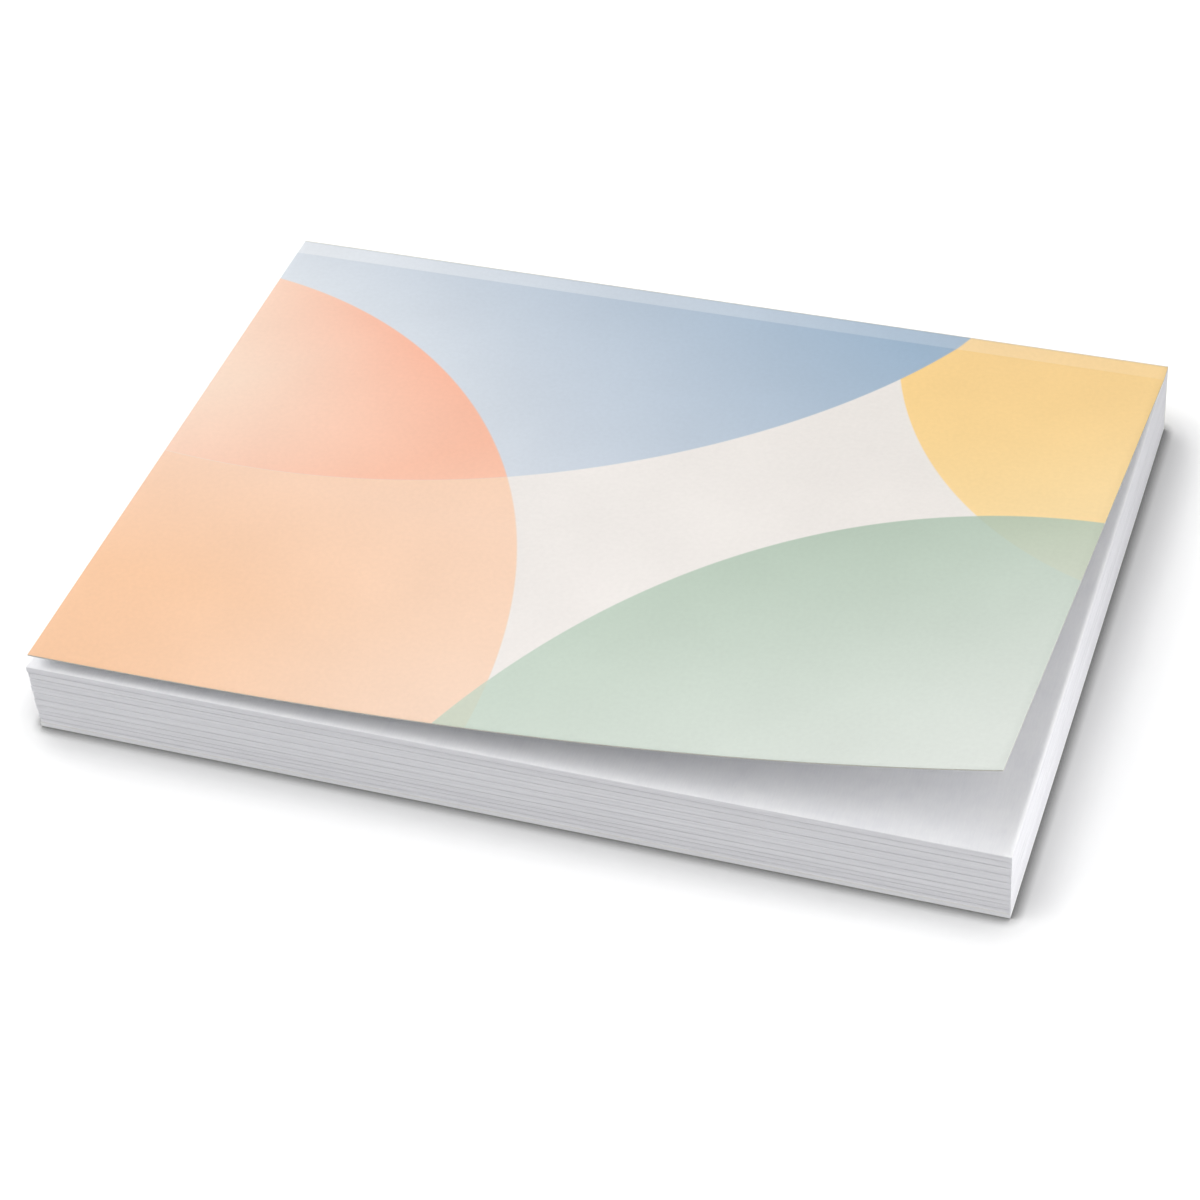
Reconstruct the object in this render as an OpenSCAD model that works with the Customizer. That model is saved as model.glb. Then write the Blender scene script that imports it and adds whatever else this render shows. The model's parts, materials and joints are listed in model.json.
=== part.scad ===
// Glue-bound notepad. A block of loose-cut sheets lies on a backing board. A film of padding
// glue holds the stack along one long edge, and a printed card cover lies on top.
// The cover is glued down in a narrow band beside that edge and lifts about the crease in
// front of the band. At rest its free part springs up a little, most at one front corner.
// +Z is up, +Y points to the glued edge, and the origin is under the middle of the pad.

/* [Pad] */
// Length of the glued edge
pad_w = 139.7; // [100:0.1:220]
// Depth of a sheet, from the open edge to the glued edge
pad_d = 101.6; // [70:0.1:160]

/* [Sheets] */
// Number of sheets in the block
sheet_count = 100; // [50:1:200]
// Thickness of one sheet
sheet_t = 0.109; // [0.08:0.001:0.15]
// Number of bundles that the edge lines part the block into
bundle_count = 9; // [2:1:20]
// How far a bundle's cut edge may lie back from the block's face
edge_jog = 0.12; // [0.02:0.01:0.3]

/* [Backing board] */
// Thickness of the backing board
board_t = 0.9; // [0.4:0.1:2]

/* [Glue] */
// Thickness of the glue film on the bound edge
glue_t = 0.4; // [0.2:0.1:1]
// Bevel along the film's two long edges
glue_bevel = 0.15; // [0.05:0.01:0.15]

/* [Cover] */
// Thickness of the cover card
card_t = 0.3; // [0.2:0.05:0.6]
// Depth of the glued band behind the crease
band_d = 3.2; // [2:0.1:10]
// Clearance that lets the free part of the cover turn at the crease
crease_gap = 0.06; // [0.04:0.01:0.2]
// Thickness of the card's printed face
ink_t = 0.04; // [0.02:0.01:0.1]
// Angle to which the cover springs up at its left edge
left_angle = 1.25; // [0.8:0.05:5]
// Angle to which the cover springs up at its right edge
right_angle = 8.2; // [5:0.1:12]
// How sharply the bend gathers towards the right edge
bend_power = 2.4; // [1:0.1:4]
// How far the bend draws the left front corner in
draw_left = 0.9; // [0:0.1:3]
// How far the bend draws the right front corner in
draw_right = 1.6; // [0:0.1:3]

/* [Printed discs] */
// Half width of the blue disc
blue_half_w = 103.6; // [60:0.1:125]
// Half depth of the blue disc
blue_half_d = 86.5; // [50:0.1:110]
// Distance of its centre from the left edge
blue_from_left = 12.9; // [0:0.1:60]
// Distance of its centre behind the glued edge
blue_behind = 30.6; // [10:0.1:40]
// Half width of the peach disc
peach_half_w = 77.8; // [40:0.1:110]
// Half depth of the peach disc
peach_half_d = 90.9; // [40:0.1:110]
// Distance of its centre outside the left edge
peach_outside = 11.5; // [0:0.1:30]
// Distance of its centre from the front edge
peach_from_front = 1.2; // [0:0.1:40]
// Half width of the yellow disc
yellow_half_w = 81.9; // [50:0.1:100]
// Half depth of the yellow disc
yellow_half_d = 81.9; // [50:0.1:100]
// Distance of its centre outside the right edge
yellow_outside = 40.2; // [10:0.1:45]
// Distance of its centre behind the glued edge
yellow_behind = 13; // [0:0.1:30]
// Half width of the green disc
green_half_w = 83.9; // [40:0.1:110]
// Half depth of the green disc
green_half_d = 111.9; // [80:0.1:130]
// Distance of its centre inside the right edge
green_inside = 4.6; // [0:0.1:60]
// Distance of its centre in front of the front edge
green_in_front = 53.8; // [20:0.1:70]

/* [Hidden] */

// Heights, from the surface that the pad lies on
block_t = sheet_count * sheet_t;
bundle_t = block_t / bundle_count;
block_top = board_t + block_t;
cover_top = block_top + card_t;

// Plan places, with the glue film counted in the depth
back_y = (pad_d - glue_t) / 2;
front_y = back_y - pad_d;
left_x = -pad_w / 2;
crease_y = back_y - band_d;

// The free part of the cover turns about this line, just above the card's top face
hinge_z = cover_top + crease_gap;
panel_d = pad_d - band_d;

// How far each bundle of sheets bites into the one below it
bundle_bite = 0.02;

// Fineness of the bent sheet and of the printed discs
columns = 28;
rows = 6;
disc_segments = 180;

// How much paler the print looks on the glued band, where the crease catches the light
band_tint = 0.15;

// The golden angle, which spreads the bundles' setbacks without repeating them
golden_angle = 137.5;

// The bare card, the four print inks, and the mixes where two of them overlap
card_white = [0.97, 0.97, 0.97];
ground_ink = [0.93, 0.91, 0.90];
blue_ink = [0.76, 0.81, 0.86];
peach_ink = [0.98, 0.83, 0.71];
coral_ink = [0.98, 0.78, 0.68];
yellow_ink = [0.97, 0.84, 0.60];
green_ink = [0.80, 0.85, 0.80];
olive_ink = [0.78, 0.81, 0.74];

// Setback of bundle i on one face, chosen by that face's own turn
function setback(i, turn) = edge_jog * (0.5 + 0.5 * sin(golden_angle * (i + 1) * turn));

// Angle of the cover's spring at the fraction f of its width, measured from the left
function lift(f) = left_angle + (right_angle - left_angle) * pow(f, bend_power);

// An ink mixed with white
function tinted(ink, tint) = ink * (1 - tint) + [1, 1, 1] * tint;

// Point of the bent sheet at the fraction f of its width, s in front of the crease and
// depth under its printed face
function sheet_point(f, s, depth) =
    let (a = lift(f), drawn = (draw_left * (1 - f) - draw_right * f) * s / panel_d)
    [
        left_x + pad_w * f + drawn,
        crease_y - s * cos(a),
        hinge_z + s * sin(a) - depth
    ];

// Index of the point in column i and row j, on a layer's upper face or on its lower face
function point_index(i, j, under) = (under * (columns + 1) + i) * (rows + 1) + j;

// Two triangles that close the quadrilateral a, b, c, d
function quad(a, b, c, d) = [[a, b, c], [a, c, d]];

module backing_board() {
    color([0.86, 0.85, 0.84])
        translate([left_x, front_y, 0])
            cube([pad_w, pad_d, board_t]);
}

// One bundle of sheets, set back by its own amounts at both ends and at the open edge. It
// bites into the bundle below, which makes the block one solid.
module sheet_bundle(i) {
    left = setback(i, 1);
    right = setback(i, 2);
    front = setback(i, 3);
    bottom = board_t + i * bundle_t - (i > 0 ? bundle_bite : 0);
    top = board_t + (i + 1) * bundle_t;
    translate([left_x + left, front_y + front, bottom])
        cube([pad_w - left - right, pad_d - front, top - bottom]);
}

module page_block() {
    color([0.95, 0.95, 0.96])
        for (i = [0:bundle_count - 1])
            sheet_bundle(i);
}

// Film over the back of the board, the sheets and the cover's glued band
module binding_glue() {
    profile = [
        [0, 0],
        [glue_t - glue_bevel, 0],
        [glue_t, glue_bevel],
        [glue_t, cover_top - glue_bevel],
        [glue_t - glue_bevel, cover_top],
        [0, cover_top]
    ];
    color([0.93, 0.92, 0.88])
        translate([left_x, back_y, 0])
            rotate([90, 0, 90])
                linear_extrude(pad_w)
                    polygon(profile);
}

// Upright oval cylinder that cuts a printed disc out of the cover
module ink_disc(centre, half_w, half_d) {
    translate([centre[0], centre[1], block_top - panel_d])
        scale([half_w, half_d, 1])
            cylinder(h = 2 * panel_d, r = 1, $fn = disc_segments);
}

module blue_disc() {
    ink_disc([left_x + blue_from_left, back_y + blue_behind], blue_half_w, blue_half_d);
}

module peach_disc() {
    ink_disc([left_x - peach_outside, front_y + peach_from_front], peach_half_w, peach_half_d);
}

module yellow_disc() {
    ink_disc(
        [left_x + pad_w + yellow_outside, back_y + yellow_behind],
        yellow_half_w,
        yellow_half_d
    );
}

module green_disc() {
    ink_disc(
        [left_x + pad_w - green_inside, front_y - green_in_front],
        green_half_w,
        green_half_d
    );
}

// The print on a layer of the cover: the bare ground, the discs, and the mixed overlaps.
// The blue disc lies over the yellow one, and the green one over the peach one.
module printed(tint) {
    color(tinted(ground_ink, tint)) difference() {
        children();
        blue_disc();
        peach_disc();
        yellow_disc();
        green_disc();
    }
    color(tinted(blue_ink, tint)) difference() {
        intersection() {
            children();
            blue_disc();
        }
        peach_disc();
    }
    color(tinted(coral_ink, tint)) intersection() {
        children();
        blue_disc();
        peach_disc();
    }
    color(tinted(peach_ink, tint)) difference() {
        intersection() {
            children();
            peach_disc();
        }
        blue_disc();
        green_disc();
    }
    color(tinted(yellow_ink, tint)) difference() {
        intersection() {
            children();
            yellow_disc();
        }
        blue_disc();
        green_disc();
    }
    color(tinted(green_ink, tint)) difference() {
        intersection() {
            children();
            green_disc();
        }
        yellow_disc();
    }
    color(tinted(olive_ink, tint)) intersection() {
        children();
        green_disc();
        yellow_disc();
    }
}

// A layer of the cover's glued band, between two depths under its printed face
module band_layer(upper, lower) {
    translate([left_x, crease_y, cover_top - lower])
        cube([pad_w, band_d, lower - upper]);
}

module cover_hinge_strip() {
    color(card_white) band_layer(ink_t / 2, card_t);
    printed(band_tint) band_layer(0, ink_t);
}

// A layer of the cover's free part, between two depths under its printed face. Every line
// from the crease to the front edge stays straight and rises at its own angle.
module bent_layer(upper, lower) {
    points = [
        for (depth = [upper, lower], i = [0:columns], j = [0:rows])
            sheet_point(
                i / columns,
                crease_gap + (panel_d - crease_gap) * j / rows,
                depth
            )
    ];
    faces = [
        for (i = [0:columns - 1], j = [0:rows - 1])
            each quad(
                point_index(i, j, 0),
                point_index(i + 1, j, 0),
                point_index(i + 1, j + 1, 0),
                point_index(i, j + 1, 0)
            ),
        for (i = [0:columns - 1], j = [0:rows - 1])
            each quad(
                point_index(i, j, 1),
                point_index(i, j + 1, 1),
                point_index(i + 1, j + 1, 1),
                point_index(i + 1, j, 1)
            ),
        for (i = [0:columns - 1])
            each quad(
                point_index(i, 0, 0),
                point_index(i, 0, 1),
                point_index(i + 1, 0, 1),
                point_index(i + 1, 0, 0)
            ),
        for (i = [0:columns - 1])
            each quad(
                point_index(i, rows, 0),
                point_index(i + 1, rows, 0),
                point_index(i + 1, rows, 1),
                point_index(i, rows, 1)
            ),
        for (j = [0:rows - 1])
            each quad(
                point_index(0, j, 0),
                point_index(0, j + 1, 0),
                point_index(0, j + 1, 1),
                point_index(0, j, 1)
            ),
        for (j = [0:rows - 1])
            each quad(
                point_index(columns, j, 0),
                point_index(columns, j, 1),
                point_index(columns, j + 1, 1),
                point_index(columns, j + 1, 0)
            )
    ];
    polyhedron(points, faces);
}

module cover_panel() {
    color(card_white) bent_layer(ink_t / 2, card_t);
    printed(0) bent_layer(0, ink_t);
}

backing_board();
page_block();
binding_glue();
cover_hinge_strip();
cover_panel();
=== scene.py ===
import json
import math

import bpy
import numpy as np
from mathutils import Matrix, Vector


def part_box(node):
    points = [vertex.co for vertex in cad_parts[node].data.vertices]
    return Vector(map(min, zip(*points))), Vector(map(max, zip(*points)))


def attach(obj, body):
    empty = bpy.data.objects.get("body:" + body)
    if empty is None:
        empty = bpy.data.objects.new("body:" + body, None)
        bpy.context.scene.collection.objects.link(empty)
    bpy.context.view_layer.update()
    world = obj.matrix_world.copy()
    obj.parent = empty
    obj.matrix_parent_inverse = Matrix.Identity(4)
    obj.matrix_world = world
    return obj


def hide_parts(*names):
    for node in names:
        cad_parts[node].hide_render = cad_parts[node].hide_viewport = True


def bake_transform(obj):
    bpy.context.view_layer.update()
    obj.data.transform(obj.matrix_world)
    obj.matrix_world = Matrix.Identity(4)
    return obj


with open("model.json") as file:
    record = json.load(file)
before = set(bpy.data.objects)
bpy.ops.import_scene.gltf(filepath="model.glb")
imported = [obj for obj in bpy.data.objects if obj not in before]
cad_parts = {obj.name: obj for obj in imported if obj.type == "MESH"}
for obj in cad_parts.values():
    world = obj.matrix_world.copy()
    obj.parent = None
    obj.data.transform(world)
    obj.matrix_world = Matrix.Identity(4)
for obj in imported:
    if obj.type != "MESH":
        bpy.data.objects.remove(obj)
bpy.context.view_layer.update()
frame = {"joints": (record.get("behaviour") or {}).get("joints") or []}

# Sizes are in metres, in the frame's axes: +X along the glued edge, +Y towards it, +Z up.
MM = 0.001

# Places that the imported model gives
STRIP_LOW, STRIP_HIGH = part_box("cover_hinge_strip")
BLOCK_LOW, BLOCK_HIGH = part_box("page_block")
BOARD_LOW, BOARD_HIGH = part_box("backing_board")
GLUE_LOW, GLUE_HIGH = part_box("binding_glue")
HINGE = Vector(frame["joints"][0]["pos_m"])
LEFT_X, RIGHT_X = BOARD_LOW.x, BOARD_HIGH.x
FRONT_Y, BACK_Y = BOARD_LOW.y, BOARD_HIGH.y
PAD_W = RIGHT_X - LEFT_X
PAD_D = BACK_Y - FRONT_Y
CARD_T = STRIP_HIGH.z - STRIP_LOW.z
CREASE_Y = STRIP_LOW.y
PANEL_D = CREASE_Y - FRONT_Y

# The cover's spring, as the part's source gives it
LEFT_ANGLE = math.radians(1.25)
RIGHT_ANGLE = math.radians(8.2)
BEND_POWER = 2.4
DRAW_LEFT = 0.9 * MM
DRAW_RIGHT = 1.6 * MM

# The sheets, and how far the bundles' cut edges lie back, as the part's source has them
SHEET_COUNT = 100
EDGE_JOG = 0.12 * MM
GOLDEN_ANGLE = math.radians(137.5)

# The sheets, counted from the board, whose set-back edges draw the lines between the bundles
LINE_SHEETS = (5, 14, 21, 31, 42, 53, 65, 78, 88)
LINE_DEPTH = 0.2 * MM

# The left, front and right faces of the block: the turns that choose their setbacks, as in
# the part's source, how much of them shows, and the points along each face
FACE_TURNS = (1, 3, 2)
FACE_SHARES = (1.0, 1.0, 0.25)
FACE_POINTS = (73, 113, 73)

# How far single sheets and the gaps between them lie back, and how far both wander
SHEET_SETBACK = 0.012 * MM
GAP_DEPTHS = (0.02 * MM, 0.04 * MM)
FIRST_GAP_DEPTH = 0.01 * MM
GAP_WANDER = 0.004 * MM
SHEET_WANDER = 0.005 * MM

# The stack's softly turned rim: the sheets in it, and how far in and down, in millimetres
RIM_SHEETS = 3
RIM = ((0.0, 0.32), (0.04, 0.25), (0.26, 0.09), (0.5, 0.035), (0.8, 0.01), (1.2, 0.0), (2.2, 0.0))

# The board's cut edge: shares of the thickness and how far in, in millimetres, the points
# along its left, front and right faces, and how far they wander
BOARD_EDGE = (
    (0.0, 0.16), (0.02, 0.10), (0.06, 0.05), (0.12, 0.02), (0.30, 0.01), (0.50, 0.02),
    (0.70, 0.01), (0.86, 0.02), (0.95, 0.05), (1.0, 0.14),
)
BOARD_POINTS = (41, 57, 41)
BOARD_WANDER = 0.012 * MM

# The glue film: points along and up it, brush waves, and shares of its thickness
GLUE_POINTS = (141, 25)
BRUSH_WAVES = (2, 3, 5, 9)
GLUE_RIM, GLUE_BODY, GLUE_BRUSHED = 0.25, 0.6, 0.15

# The cover card: its softened edge, half the bend at its crease, half the finer stretch of
# the mesh there, and the numbers of points along and across it
CARD_BEVEL = 0.05 * MM
CREASE_BEND = 0.5 * MM
CREASE_REACH = 0.9 * MM
CARD_COLUMNS, FREE_ROWS, CREASE_ROWS, BAND_ROWS = 113, 81, 13, 5

# The sky's level, the share of light that the floor sends back, and the floor's own glow
SKY_LEVEL = 0.40
FLOOR_BOUNCE = 0.8
FLOOR_GLOW = 0.10

# Half the floor's width
FLOOR_HALF = 4.0

# The shade on the floor close to the pad: reach, strength and number of samples
CONTACT_SHADES = ((7.8 * MM, 0.9, 2), (1.8 * MM, 2.4, 5))

# The far lamps: elevation, azimuth and width in degrees, and level
LAMPS = {
    "left": (58, 270, 40, 0.234),
    "front_left": (58, 315, 40, 0.20),
    "back_left": (38, 225, 36, 0.172),
    "front_right": (58, 45, 40, 0.09),
    "low_right": (10, 90, 30, 0.14),
}

# The near lamp, placed from the pad's right front corner
CORNER_LAMP_AWAY = Vector((80, 8, 16)) * MM
CORNER_LAMP_SIZE = 36 * MM
CORNER_LAMP_WATTS = 0.029

# The photograph's view, found from the pad's corners: angles in degrees, lens in millimetres
CAMERA_AIM = Vector((1.34, -12.55, 6.0)) * MM
CAMERA_DISTANCE = 439.74 * MM
CAMERA_ELEVATION = 42.51
CAMERA_AZIMUTH = 22.46
CAMERA_ROLL = -5.61
CAMERA_LENS = 92.7
CAMERA_SENSOR = 36.0
CAMERA_CLIP = 0.01


def srgb(red, green, blue):
    """A linear colour from a screen colour given from 0 to 255."""
    def linear(value):
        c = value / 255
        return c / 12.92 if c <= 0.04045 else ((c + 0.055) / 1.055) ** 2.4
    return (linear(red), linear(green), linear(blue), 1.0)


# Node helpers

def new_material(name):
    """A node material, and its Principled shader."""
    material = bpy.data.materials.new(name)
    material.use_nodes = True
    tree = material.node_tree
    tree.nodes.clear()
    shader = tree.nodes.new("ShaderNodeBsdfPrincipled")
    output = tree.nodes.new("ShaderNodeOutputMaterial")
    tree.links.new(shader.outputs["BSDF"], output.inputs["Surface"])
    return material, shader


def put(tree, socket, value):
    """Links value to socket if it is another node's output, or else sets it."""
    if isinstance(value, bpy.types.NodeSocket):
        tree.links.new(value, socket)
    else:
        socket.default_value = value


def math_node(tree, operation, *values):
    node = tree.nodes.new("ShaderNodeMath")
    node.operation = operation
    for socket, value in zip(node.inputs, values):
        put(tree, socket, value)
    return node.outputs["Value"]


def vector_node(tree, operation, *values):
    node = tree.nodes.new("ShaderNodeVectorMath")
    node.operation = operation
    for socket, value in zip(node.inputs, values):
        put(tree, socket, value)
    return node.outputs["Value" if operation in ("DOT_PRODUCT", "DISTANCE") else "Vector"]


def mix_colour(tree, factor, a, b):
    node = tree.nodes.new("ShaderNodeMix")
    node.data_type = "RGBA"
    put(tree, node.inputs["Factor"], factor)
    put(tree, node.inputs["A"], a)
    put(tree, node.inputs["B"], b)
    return node.outputs["Result"]


def map_range(tree, value, low, high, to_low=0.0, to_high=1.0, smooth=False):
    node = tree.nodes.new("ShaderNodeMapRange")
    node.interpolation_type = "SMOOTHSTEP" if smooth else "LINEAR"
    put(tree, node.inputs["Value"], value)
    ends = {"From Min": low, "From Max": high, "To Min": to_low, "To Max": to_high}
    for name, number in ends.items():
        node.inputs[name].default_value = number
    return node.outputs["Result"]


def noise(tree, vector, scale, detail=3.0, roughness=0.5, stretch=(1, 1, 1)):
    """Noise about 0.5, with so many waves a metre along each axis after the stretch."""
    stretched = vector_node(tree, "MULTIPLY", vector, stretch)
    node = tree.nodes.new("ShaderNodeTexNoise")
    put(tree, node.inputs["Vector"], stretched)
    node.inputs["Scale"].default_value = scale
    node.inputs["Detail"].default_value = detail
    node.inputs["Roughness"].default_value = roughness
    return node.outputs["Fac"]


def attribute(tree, name):
    node = tree.nodes.new("ShaderNodeAttribute")
    node.attribute_name = name
    return node.outputs["Vector"]


def object_place(tree):
    return tree.nodes.new("ShaderNodeTexCoord").outputs["Object"]


def bump(tree, shader, height, distance):
    node = tree.nodes.new("ShaderNodeBump")
    node.inputs["Distance"].default_value = distance
    put(tree, node.inputs["Height"], height)
    tree.links.new(node.outputs["Normal"], shader.inputs["Normal"])


def seen_straight(tree):
    """1 for rays from the camera, or from it by way of glass or gloss, and 0 for others."""
    path = tree.nodes.new("ShaderNodeLightPath").outputs
    through = math_node(tree, "MAXIMUM", path["Is Glossy Ray"], path["Is Transmission Ray"])
    return math_node(tree, "MAXIMUM", path["Is Camera Ray"], through)


# Materials

# The printed discs in the flat cover: centre from its front left corner, half width and depth
DISCS = {
    "blue": ((12.9 * MM, PAD_D + 30.6 * MM), (103.6 * MM, 86.5 * MM)),
    "peach": ((-11.5 * MM, 1.2 * MM), (77.8 * MM, 90.9 * MM)),
    "yellow": ((PAD_W + 40.2 * MM, PAD_D + 13.0 * MM), (81.9 * MM, 81.9 * MM)),
    "green": ((PAD_W - 4.6 * MM, -53.8 * MM), (83.9 * MM, 111.9 * MM)),
}
PRINT_EDGE = 0.12 * MM

# How much the painted highlight makes the band behind the crease paler, at its left and at its
# right end
BAND_HIGHLIGHT = (0.36, 0.06)
CREASE_SOFT = 0.1 * MM

# Each field's colour runs evenly from one place to another in the flat cover
FIELDS = {
    "ground": ((80, 18), srgb(245, 240, 236), (104, 85), srgb(235, 230, 225)),
    "blue": ((5, 90), srgb(216, 222, 230), (55, 142), srgb(157, 180, 202)),
    "peach": ((33, 18), srgb(252, 205, 167), (35, 43), srgb(251, 213, 186)),
    "coral": ((11, 71), srgb(252, 224, 203), (32, 47), srgb(252, 198, 172)),
    "yellow": ((140, 63), srgb(252, 222, 166), (108, 92), srgb(250, 213, 144)),
    "green": ((141, 5), srgb(225, 230, 224), (102, 49), srgb(203, 218, 204)),
    "olive": ((133, 35), srgb(213, 219, 203), (120, 57), srgb(183, 197, 175)),
    "moss": ((52, 4), srgb(209, 216, 199), (44, 0), srgb(209, 215, 189)),
}

# A soft round spot on a field: its middle, its reach and its colour there
SPOTS = {
    "ground": ((46, 30), 34, srgb(237, 232, 228)),
    "blue": ((-16, 37), 84, srgb(245, 251, 254)),
    "peach": ((71, -3), 70, srgb(251, 221, 199)),
    "coral": ((42, 103), 59, srgb(251, 159, 127)),
    "yellow": ((122, 100), 43, srgb(248, 211, 147)),
    "green": ((99, 86), 91, srgb(173, 191, 174)),
}


def disc_mask(tree, flat, name):
    """1 inside a printed disc and 0 outside it, with the soft edge that ink has."""
    (x, y), (half_w, half_d) = DISCS[name]
    offset = vector_node(tree, "SUBTRACT", flat, (x, y, 0))
    scaled = vector_node(tree, "DIVIDE", offset, (half_w, half_d, 1))
    reach = vector_node(tree, "DISTANCE", scaled, (0, 0, 0))
    soft = PRINT_EDGE / (half_w + half_d) * 2
    return map_range(tree, reach, 1 - soft, 1 + soft, 1.0, 0.0)


def field_colour(tree, flat, name):
    """A field's colour, run from its first place to its second, with its soft spot."""
    start, first, end, second = FIELDS[name]
    run = Vector((end[0] - start[0], end[1] - start[1])) * MM
    along = vector_node(tree, "DOT_PRODUCT", flat, (run.x, run.y, 0))
    begin = (start[0] * run.x + start[1] * run.y) * MM
    share = map_range(tree, along, begin, begin + run.length_squared)
    colour = mix_colour(tree, share, first, second)
    if name not in SPOTS:
        return colour
    middle, reach, deepest = SPOTS[name]
    away = vector_node(tree, "DISTANCE", flat, (middle[0] * MM, middle[1] * MM, 0))
    spot = map_range(tree, away, reach * MM, 0.0, smooth=True)
    return mix_colour(tree, spot, colour, deepest)


def printed_card():
    """The cover's printed face: soft discs of colour on matt card."""
    material, shader = new_material("printed_card")
    tree = material.node_tree
    flat = attribute(tree, "flat")
    masks = {name: disc_mask(tree, flat, name) for name in DISCS}
    not_blue = math_node(tree, "SUBTRACT", 1.0, masks["blue"])
    both = {
        "coral": math_node(tree, "MULTIPLY", masks["peach"], masks["blue"]),
        "olive": math_node(tree, "MULTIPLY", masks["green"], masks["yellow"]),
        "moss": math_node(tree, "MULTIPLY", masks["green"], masks["peach"]),
    }
    layers = [
        ("yellow", masks["yellow"]),
        ("blue", masks["blue"]),
        ("peach", math_node(tree, "MULTIPLY", masks["peach"], not_blue)),
        ("coral", both["coral"]),
        ("green", masks["green"]),
        ("olive", both["olive"]),
        ("moss", both["moss"]),
    ]
    colour = field_colour(tree, flat, "ground")
    for name, mask in layers:
        colour = mix_colour(tree, mask, colour, field_colour(tree, flat, name))

    # Painted highlight: the band behind the crease is made paler, most at its left. Its last edge
    # is darker
    along = vector_node(tree, "DOT_PRODUCT", flat, (1, 0, 0))
    depth = vector_node(tree, "DOT_PRODUCT", flat, (0, 1, 0))
    behind = map_range(tree, depth, PANEL_D - CREASE_SOFT, PANEL_D + CREASE_SOFT)
    highlight_share = map_range(tree, along, 0.0, PAD_W, *BAND_HIGHLIGHT)
    band = math_node(tree, "MULTIPLY", behind, highlight_share)
    colour = mix_colour(tree, band, colour, srgb(252, 252, 252))
    rim = map_range(tree, depth, PAD_D - 0.4 * MM, PAD_D - 0.15 * MM, 0.0, 0.10)
    colour = mix_colour(tree, rim, colour, srgb(150, 160, 175))

    # Faint clouds in the ink, and the card's fibres
    clouds = map_range(tree, noise(tree, flat, 55, 4), 0.3, 0.7, 0.975, 1.02)
    speckle = map_range(tree, noise(tree, flat, 1400, 2), 0.3, 0.7, 0.985, 1.015)
    tone = math_node(tree, "MULTIPLY", clouds, speckle)
    tinted = vector_node(tree, "MULTIPLY", colour, tone)
    tree.links.new(tinted, shader.inputs["Base Color"])
    shader.inputs["Roughness"].default_value = 0.75
    shader.inputs["Specular IOR Level"].default_value = 0.2
    fibres = noise(tree, flat, 900, 4, 0.6, (1, 0.6, 1))
    bump(tree, shader, fibres, 0.015 * MM)
    return material


def bare_card():
    """The cover's unprinted side."""
    material, shader = new_material("bare_card")
    tree = material.node_tree
    flat = attribute(tree, "flat")
    mottle = noise(tree, flat, 420, 4, 0.6)
    colour = mix_colour(tree, mottle, srgb(216, 217, 220), srgb(230, 231, 233))
    tree.links.new(colour, shader.inputs["Base Color"])
    shader.inputs["Roughness"].default_value = 0.85
    shader.inputs["Specular IOR Level"].default_value = 0.2
    bump(tree, shader, noise(tree, flat, 1500, 3), 0.02 * MM)
    return material


def card_core_and_painted_shade():
    """The cut edge of the cover card: greyer than its faces, as a card's core is, and darker still
    as painted shade.
    """
    material, shader = new_material("card_core_and_painted_shade")
    tree = material.node_tree
    fibres = noise(tree, attribute(tree, "flat"), 1800, 4, 0.7)
    colour = mix_colour(tree, fibres, srgb(176, 174, 166), srgb(212, 210, 202))
    tree.links.new(colour, shader.inputs["Base Color"])
    shader.inputs["Roughness"].default_value = 0.9
    shader.inputs["Specular IOR Level"].default_value = 0.15
    bump(tree, shader, fibres, 0.02 * MM)
    return material


def sheet_edges():
    """The cut edges of the sheets: fine level streaks, each a few sheets high."""
    material, shader = new_material("sheet_edges")
    tree = material.node_tree
    place = object_place(tree)
    fine = noise(tree, place, 100, 3, 0.7, (0.5, 0.5, 75))
    broad = noise(tree, place, 60, 3, 0.6, (0.25, 0.25, 14))
    streak = math_node(tree, "ADD", fine, math_node(tree, "MULTIPLY", broad, 0.5))
    share = map_range(tree, streak, 0.45, 1.05)
    colour = mix_colour(tree, share, srgb(224, 224, 228), srgb(243, 243, 246))
    tree.links.new(colour, shader.inputs["Base Color"])
    shader.inputs["Roughness"].default_value = 0.9
    shader.inputs["Specular IOR Level"].default_value = 0.15
    bump(tree, shader, fine, 0.02 * MM)
    return material


def top_sheet():
    """The open face of the first sheet, with its fine grain along the depth."""
    material, shader = new_material("top_sheet")
    tree = material.node_tree
    place = object_place(tree)
    grain = noise(tree, place, 220, 4, 0.7, (22, 2.2, 1))
    mottle = noise(tree, place, 300, 3)
    share = map_range(tree, math_node(tree, "ADD", grain, mottle), 0.7, 1.3)
    colour = mix_colour(tree, share, srgb(243, 243, 246), srgb(252, 252, 253))
    tree.links.new(colour, shader.inputs["Base Color"])
    shader.inputs["Roughness"].default_value = 0.85
    shader.inputs["Specular IOR Level"].default_value = 0.2
    bump(tree, shader, grain, 0.02 * MM)
    return material


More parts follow.
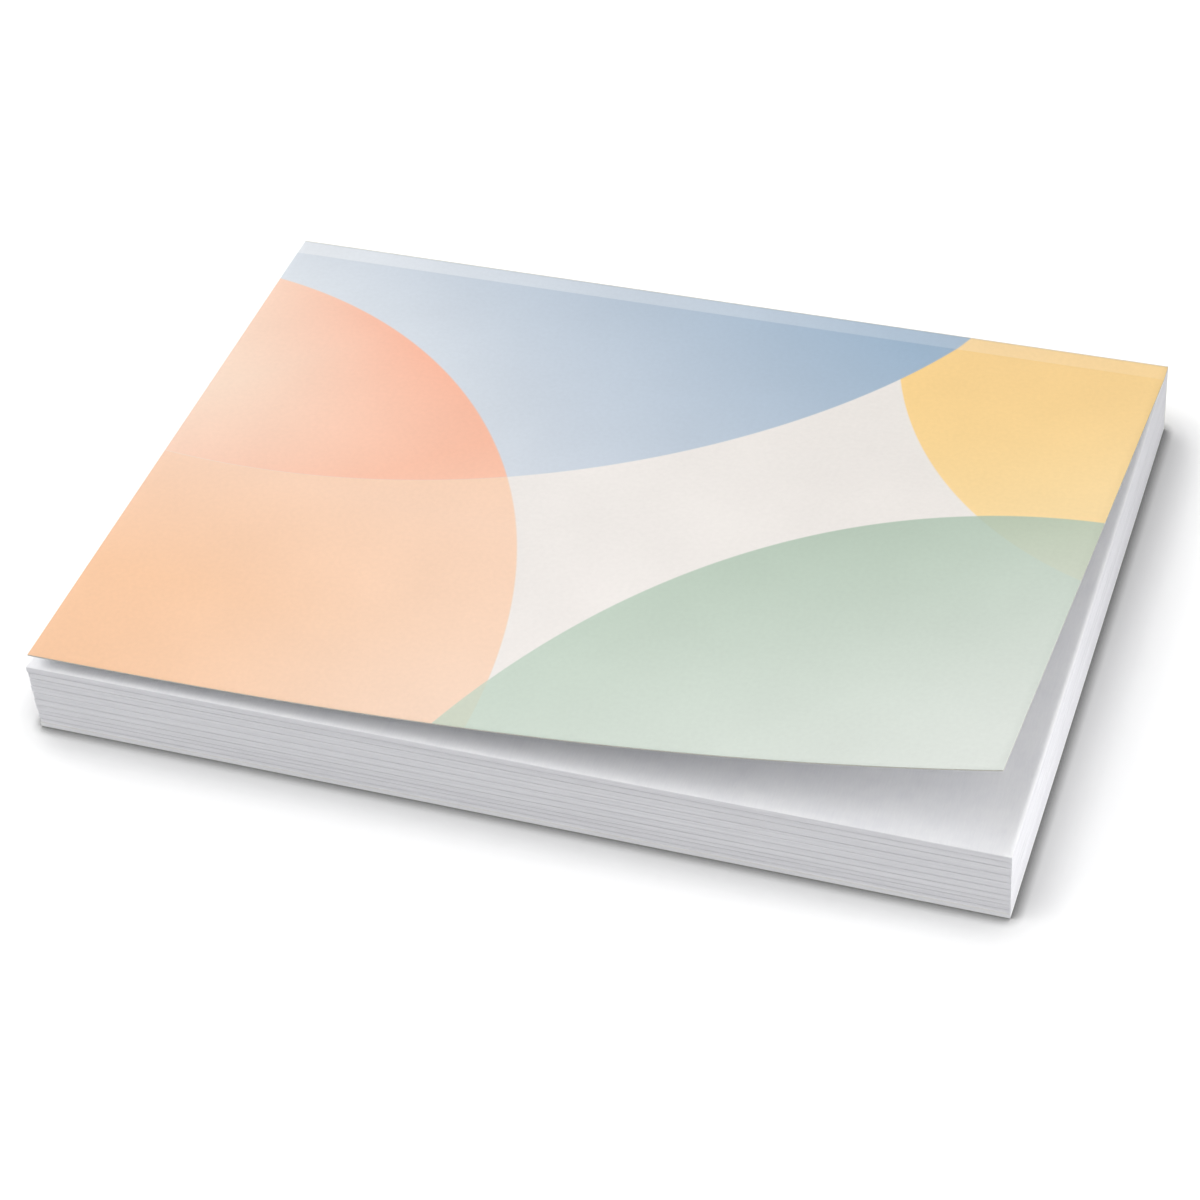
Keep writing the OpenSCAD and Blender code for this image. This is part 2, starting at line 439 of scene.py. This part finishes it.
def board_edge():
    """Greyboard between two white liners, seen on its cut edges and from below."""
    material, shader = new_material("backing_board")
    tree = material.node_tree
    place = object_place(tree)
    height = vector_node(tree, "DOT_PRODUCT", place, (0, 0, 1))
    middle = (BOARD_LOW.z + BOARD_HIGH.z) / 2
    away = math_node(tree, "ABSOLUTE", math_node(tree, "SUBTRACT", height, middle))
    half = (BOARD_HIGH.z - BOARD_LOW.z) / 2
    liner = map_range(tree, away, half - 0.2 * MM, half - 0.12 * MM)
    fibres = noise(tree, place, 260, 5, 0.7, (0.5, 0.5, 4))
    core = mix_colour(tree, fibres, srgb(224, 224, 227), srgb(243, 243, 245))
    face = mix_colour(tree, noise(tree, place, 700, 4), srgb(218, 217, 216), srgb(231, 230, 229))
    colour = mix_colour(tree, liner, core, face)
    tree.links.new(colour, shader.inputs["Base Color"])
    shader.inputs["Roughness"].default_value = 0.9
    shader.inputs["Specular IOR Level"].default_value = 0.15
    bump(tree, shader, fibres, 0.04 * MM)
    return material


def padding_glue():
    """Milky padding glue, brushed on along the edge, a little glossy."""
    material, shader = new_material("padding_glue")
    tree = material.node_tree
    place = object_place(tree)
    brushed = noise(tree, place, 90, 4, 0.6, (0.35, 1, 9))
    colour = mix_colour(tree, brushed, srgb(222, 219, 208), srgb(240, 238, 230))
    tree.links.new(colour, shader.inputs["Base Color"])
    gloss = map_range(tree, brushed, 0.3, 0.7, 0.32, 0.48)
    tree.links.new(gloss, shader.inputs["Roughness"])
    shader.inputs["Specular IOR Level"].default_value = 0.45
    bump(tree, shader, brushed, 0.05 * MM)
    return material


# Meshes

def make_object(name, points, faces, materials, face_slots):
    mesh = bpy.data.meshes.new(name)
    mesh.from_pydata([tuple(p) for p in points], [], faces)
    for material in materials:
        mesh.materials.append(material)
    mesh.polygons.foreach_set("material_index", face_slots)
    mesh.update()
    obj = bpy.data.objects.new(name, mesh)
    bpy.context.scene.collection.objects.link(obj)
    return obj


def crease_blend(s):
    """How much of the free part's rise has set in, s in front of the crease."""
    t = min(max((s + CREASE_BEND) / (2 * CREASE_BEND), 0.0), 1.0)
    return t * t * (3 - 2 * t)


def cover_point(u, v, depth):
    """Place of the point of the flat cover u from its left edge and v from its front edge,
    depth under the printed face."""
    s = PANEL_D - v
    share = u / PAD_W
    angle = LEFT_ANGLE + (RIGHT_ANGLE - LEFT_ANGLE) * share ** BEND_POWER
    part = crease_blend(s)
    forward = max(s, 0.0)
    drawn = (DRAW_LEFT * (1 - share) - DRAW_RIGHT * share) * forward / PANEL_D
    rise = (HINGE.z - STRIP_HIGH.z) + forward * math.sin(angle)
    return (
        LEFT_X + u + drawn,
        CREASE_Y - (forward * math.cos(angle) if s > 0 else s),
        STRIP_HIGH.z + part * rise - depth,
    )


def cover_mesh(printed, bare, core):
    """The whole cover as one sheet of card: the glued band, the crease and the free part."""
    inner = np.linspace(0, PAD_W, CARD_COLUMNS)[1:-1]
    columns = np.concatenate([[0, CARD_BEVEL], inner, [PAD_W - CARD_BEVEL, PAD_W]])
    crease = PANEL_D + np.linspace(-CREASE_REACH, CREASE_REACH, CREASE_ROWS)
    band = np.linspace(crease[-1], PAD_D, BAND_ROWS)[1:-1]
    free = np.linspace(0, crease[0], FREE_ROWS)[1:-1]
    rows = np.concatenate([[0, CARD_BEVEL], free, crease, band, [PAD_D - CARD_BEVEL, PAD_D]])
    wide, deep = len(columns), len(rows)

    def drop(i, j):
        """The card's cut edges are a little softened."""
        return CARD_BEVEL if i in (0, wide - 1) or j in (0, deep - 1) else 0.0

    points = []
    flats = []
    for under in (0, 1):
        for i, u in enumerate(columns):
            for j, v in enumerate(rows):
                edge = drop(i, j)
                depth = CARD_T - edge if under else edge
                points.append(cover_point(u, v, depth))
                flats.append((u, v, 0.0))

    def at(i, j, under):
        return (under * wide + i) * deep + j

    faces = []
    slots = []
    for i in range(wide - 1):
        for j in range(deep - 1):
            faces.append((at(i, j, 0), at(i + 1, j, 0), at(i + 1, j + 1, 0), at(i, j + 1, 0)))
            faces.append((at(i, j, 1), at(i, j + 1, 1), at(i + 1, j + 1, 1), at(i + 1, j, 1)))
            slots += [0, 1]
    for i in range(wide - 1):
        last = deep - 1
        faces.append((at(i, 0, 1), at(i + 1, 0, 1), at(i + 1, 0, 0), at(i, 0, 0)))
        faces.append((at(i, last, 0), at(i + 1, last, 0), at(i + 1, last, 1), at(i, last, 1)))
        slots += [2, 2]
    for j in range(deep - 1):
        last = wide - 1
        faces.append((at(0, j, 0), at(0, j + 1, 0), at(0, j + 1, 1), at(0, j, 1)))
        faces.append((at(last, j, 1), at(last, j + 1, 1), at(last, j + 1, 0), at(last, j, 0)))
        slots += [2, 2]
    cover = make_object("cover", points, faces, [printed, bare, core], slots)
    flat = cover.data.attributes.new("flat", "FLOAT_VECTOR", "POINT")
    flat.data.foreach_set("vector", np.array(flats, np.float32).ravel())
    cover.data.polygons.foreach_set("use_smooth", [True] * len(faces))
    return cover


def wander(random, count, size):
    """A smooth line of count values that wanders by about size."""
    usual_height = 1.6
    along = np.linspace(0, 1, count)
    line = np.zeros(count)
    for waves in (1, 2, 5, 11, 23):
        phase = random.uniform(0, 2 * math.pi)
        line += np.sin(2 * math.pi * waves * along + phase) * random.uniform(0.3, 1) / waves ** 0.5
    return line * size / usual_height


def ring(low, high, z, insets, lines):
    """The outline of one level: back left to front left, front right, and back right.
    insets and lines give how far the left, front and right faces lie back there."""
    left, front, right = insets
    on_left, on_front, on_right = lines
    y_front = low.y + front
    x_left, x_right = low.x + left, high.x - right
    forwards = np.linspace(high.y, y_front, len(on_left))
    across = np.linspace(x_left, x_right, len(on_front))
    backwards = np.linspace(y_front, high.y, len(on_right))
    run = [(x_left + d, y, z) for d, y in zip(on_left, forwards)]
    run += [(x, y_front + d, z) for d, x in zip(on_front, across)][1:-1]
    run += [(x_right - d, y, z) for d, y in zip(on_right, backwards)]
    return run


def stack_rings(name, rings, materials, top_slot, side_slot):
    """A closed solid through level rings with equal numbers of points."""
    count = len(rings[0])
    points = [p for one in rings for p in one]
    faces = []
    for k in range(len(rings) - 1):
        for i in range(count):
            j = (i + 1) % count
            faces.append((k * count + i, k * count + j, (k + 1) * count + j, (k + 1) * count + i))
    slots = [side_slot] * len(faces)
    faces.append(tuple(reversed(range(count))))
    faces.append(tuple(range((len(rings) - 1) * count, len(rings) * count)))
    slots += [side_slot, top_slot]
    return make_object(name, points, faces, materials, slots)


def setback(bundle, turn):
    """How far a bundle's cut edge lies back on one face, as in the part's source."""
    return EDGE_JOG * (0.5 + 0.5 * math.sin(GOLDEN_ANGLE * (bundle + 1) * turn))


def sheet_stack(edges, top):
    """Every sheet of the block, each a hair off the next. The bundles lie a little off each
    other, and the sheet between two of them lies back, which draws a line along the edge.
    The rim is turned from the last sheet's edge."""
    random = np.random.default_rng(7)
    sheet_t = (BLOCK_HIGH.z - BLOCK_LOW.z) / SHEET_COUNT
    rings = []
    for k in range(SHEET_COUNT - RIM_SHEETS):
        level = BLOCK_LOW.z + k * sheet_t
        bundle = sum(k >= sheet for sheet in LINE_SHEETS)
        line = LINE_DEPTH if k in LINE_SHEETS else 0.0
        insets = [
            (setback(bundle, turn) + line) * share
            for turn, share in zip(FACE_TURNS, FACE_SHARES)
        ]
        gap = random.uniform(*GAP_DEPTHS) if k else FIRST_GAP_DEPTH
        lines = [wander(random, n, GAP_WANDER) for n in FACE_POINTS]
        rings.append(ring(BLOCK_LOW, BLOCK_HIGH, level, [f + gap for f in insets], lines))
        back = [f + random.uniform(0.0, SHEET_SETBACK) for f in insets]
        lines = [wander(random, n, SHEET_WANDER) for n in FACE_POINTS]
        for share in (0.2, 0.8):
            rings.append(ring(BLOCK_LOW, BLOCK_HIGH, level + share * sheet_t, back, lines))
    for inward, drop in RIM:
        level = BLOCK_HIGH.z - drop * MM
        turned = [f + inward * MM for f in insets]
        rings.append(ring(BLOCK_LOW, BLOCK_HIGH, level, turned, lines))
    keep_inside(rings, BLOCK_LOW, BLOCK_HIGH)
    stack = stack_rings("sheet_stack", rings, [top, edges], 0, 1)
    rim_faces = (len(RIM) - 2) * len(rings[0])
    for face in stack.data.polygons[-2 - rim_faces:-2]:
        face.material_index = 0
        face.use_smooth = True
    return stack


def keep_inside(rings, low, high):
    """Holds every point inside the solid that the piece stands for."""
    for one in rings:
        for i, (x, y, z) in enumerate(one):
            one[i] = (min(max(x, low.x), high.x), min(max(y, low.y), high.y), z)


def board_mesh(material):
    """The backing board: a stiff slab whose cut edges are slightly rounded."""
    random = np.random.default_rng(11)
    thick = BOARD_HIGH.z - BOARD_LOW.z
    rings = []
    for share, inset in BOARD_EDGE:
        lines = [wander(random, n, BOARD_WANDER) for n in BOARD_POINTS]
        level = BOARD_LOW.z + share * thick
        rings.append(ring(BOARD_LOW, BOARD_HIGH, level, (inset * MM,) * 3, lines))
    keep_inside(rings, BOARD_LOW, BOARD_HIGH)
    return stack_rings("board", rings, [material], 0, 0)


def glue_mesh(material):
    """The glue film on the bound edge, with brush waves and soft rims."""
    random = np.random.default_rng(23)
    wide, high = GLUE_POINTS
    xs = np.linspace(GLUE_LOW.x, GLUE_HIGH.x, wide)
    zs = np.linspace(GLUE_LOW.z, GLUE_HIGH.z, high)
    thick = GLUE_HIGH.y - GLUE_LOW.y
    waves = sum(
        np.outer(wander(random, wide, 0.5), np.sin(np.linspace(0, n * math.pi, high) + n))
        for n in BRUSH_WAVES
    )
    waves = (waves - waves.min()) / np.ptp(waves)
    points = []
    for back in (0, 1):
        for i, x in enumerate(xs):
            for j, z in enumerate(zs):
                rim = min(i, wide - 1 - i, 2) / 2 * min(j, high - 1 - j, 2) / 2
                body = GLUE_BODY * rim ** 0.5 + GLUE_BRUSHED * waves[i, j] * rim
                out = thick * (GLUE_RIM + body)
                points.append((x, GLUE_LOW.y + (out if back else 0.0), z))

    def at(i, j, back):
        return (back * wide + i) * high + j

    faces = []
    for i in range(wide - 1):
        for j in range(high - 1):
            faces.append((at(i, j, 0), at(i + 1, j, 0), at(i + 1, j + 1, 0), at(i, j + 1, 0)))
            faces.append((at(i, j, 1), at(i, j + 1, 1), at(i + 1, j + 1, 1), at(i + 1, j, 1)))
    for i in range(wide - 1):
        last = high - 1
        faces.append((at(i, 0, 0), at(i, 0, 1), at(i + 1, 0, 1), at(i + 1, 0, 0)))
        faces.append((at(i, last, 0), at(i + 1, last, 0), at(i + 1, last, 1), at(i, last, 1)))
    for j in range(high - 1):
        last = wide - 1
        faces.append((at(0, j, 0), at(0, j + 1, 0), at(0, j + 1, 1), at(0, j, 1)))
        faces.append((at(last, j, 0), at(last, j, 1), at(last, j + 1, 1), at(last, j + 1, 0)))
    film = make_object("glue_film", points, faces, [material], [0] * len(faces))
    film.data.polygons.foreach_set("use_smooth", [True] * len(faces))
    return film


# The object

cover = cover_mesh(printed_card(), bare_card(), card_core_and_painted_shade())
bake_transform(cover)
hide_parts("cover_hinge_strip", "cover_panel")

stack = sheet_stack(sheet_edges(), top_sheet())
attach(stack, "pad")
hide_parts("page_block")

board = board_mesh(board_edge())
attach(board, "pad")
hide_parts("backing_board")

film = glue_mesh(padding_glue())
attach(film, "pad")
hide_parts("binding_glue")


# Floor, light and camera

def make_floor():
    """A wide pale floor that looks white to the camera and keeps the pad's shadow."""
    half = FLOOR_HALF
    points = [(-half, -half, 0), (half, -half, 0), (half, half, 0), (-half, half, 0)]
    material, shader = new_material("floor")
    tree = material.node_tree
    tree.nodes.remove(shader)
    direct = seen_straight(tree)
    paper = tree.nodes.new("ShaderNodeBsdfDiffuse")
    shade = 1.0
    for reach, power, samples in CONTACT_SHADES:
        near = tree.nodes.new("ShaderNodeAmbientOcclusion")
        near.samples = samples
        near.inputs["Distance"].default_value = reach
        darker = math_node(tree, "POWER", near.outputs["AO"], power)
        shade = math_node(tree, "MULTIPLY", darker, shade)
    bounce = (FLOOR_BOUNCE, FLOOR_BOUNCE, FLOOR_BOUNCE, 1)
    pale = mix_colour(tree, direct, bounce, shade)
    tree.links.new(pale, paper.inputs["Color"])
    glow = tree.nodes.new("ShaderNodeEmission")
    tree.links.new(math_node(tree, "MULTIPLY", direct, FLOOR_GLOW), glow.inputs["Strength"])
    both = tree.nodes.new("ShaderNodeAddShader")
    tree.links.new(paper.outputs["BSDF"], both.inputs[0])
    tree.links.new(glow.outputs["Emission"], both.inputs[1])
    output = next(n for n in tree.nodes if n.type == "OUTPUT_MATERIAL")
    tree.links.new(both.outputs["Shader"], output.inputs["Surface"])
    floor = make_object("floor", points, [(0, 1, 2, 3)], [material], [0])


def make_sky():
    """Even light from all round, and a plain white background for the camera."""
    world = bpy.data.worlds.new("studio")
    bpy.context.scene.world = world
    world.use_nodes = True
    tree = world.node_tree
    tree.nodes.clear()
    sky = tree.nodes.new("ShaderNodeBackground")
    sky.inputs["Color"].default_value = (1.0, 1.0, 1.0, 1)
    strength = map_range(tree, seen_straight(tree), 0.0, 1.0, SKY_LEVEL, 1.0)
    tree.links.new(strength, sky.inputs["Strength"])
    output = tree.nodes.new("ShaderNodeOutputWorld")
    tree.links.new(sky.outputs["Background"], output.inputs["Surface"])


def direction(elevation, azimuth):
    """The way to a place at an elevation and azimuth in degrees, from in front to the right."""
    e, a = math.radians(elevation), math.radians(azimuth)
    return Vector((math.sin(a) * math.cos(e), -math.cos(a) * math.cos(e), math.sin(e)))


def soft_sun(name, elevation, azimuth, width, level):
    """A wide, far lamp. Its level is what it adds to a white face turned to it."""
    data = bpy.data.lights.new(name, "SUN")
    data.energy = level * math.pi
    data.angle = math.radians(width)
    lamp = bpy.data.objects.new(name, data)
    lamp.rotation_euler = direction(elevation, azimuth).to_track_quat("Z", "Y").to_euler()
    bpy.context.scene.collection.objects.link(lamp)


def corner_lamp():
    """A small soft lamp near the right front corner, which it faces."""
    corner = Vector((RIGHT_X, FRONT_Y, BLOCK_HIGH.z / 2))
    data = bpy.data.lights.new("corner_lamp", "AREA")
    data.shape = "DISK"
    data.size = CORNER_LAMP_SIZE
    data.energy = CORNER_LAMP_WATTS
    lamp = bpy.data.objects.new("corner_lamp", data)
    lamp.location = corner + CORNER_LAMP_AWAY
    lamp.rotation_euler = CORNER_LAMP_AWAY.to_track_quat("Z", "Y").to_euler()
    bpy.context.scene.collection.objects.link(lamp)


def make_camera():
    """The photograph's view."""
    data = bpy.data.cameras.new("camera")
    data.lens = CAMERA_LENS
    data.sensor_width = CAMERA_SENSOR
    data.clip_start = CAMERA_CLIP
    back = direction(CAMERA_ELEVATION, CAMERA_AZIMUTH)
    place = Matrix.Translation(CAMERA_AIM + back * CAMERA_DISTANCE)
    facing = back.to_track_quat("Z", "Y").to_matrix().to_4x4()
    roll = Matrix.Rotation(math.radians(CAMERA_ROLL), 4, "Z")
    camera = bpy.data.objects.new("camera", data)
    camera.matrix_world = place @ facing @ roll
    bpy.context.scene.collection.objects.link(camera)
    bpy.context.scene.camera = camera


make_floor()
make_sky()
for name, (elevation, azimuth, width, level) in LAMPS.items():
    soft_sun(name, elevation, azimuth, width, level)
corner_lamp()
make_camera()
bpy.context.scene.view_settings.view_transform = "Standard"
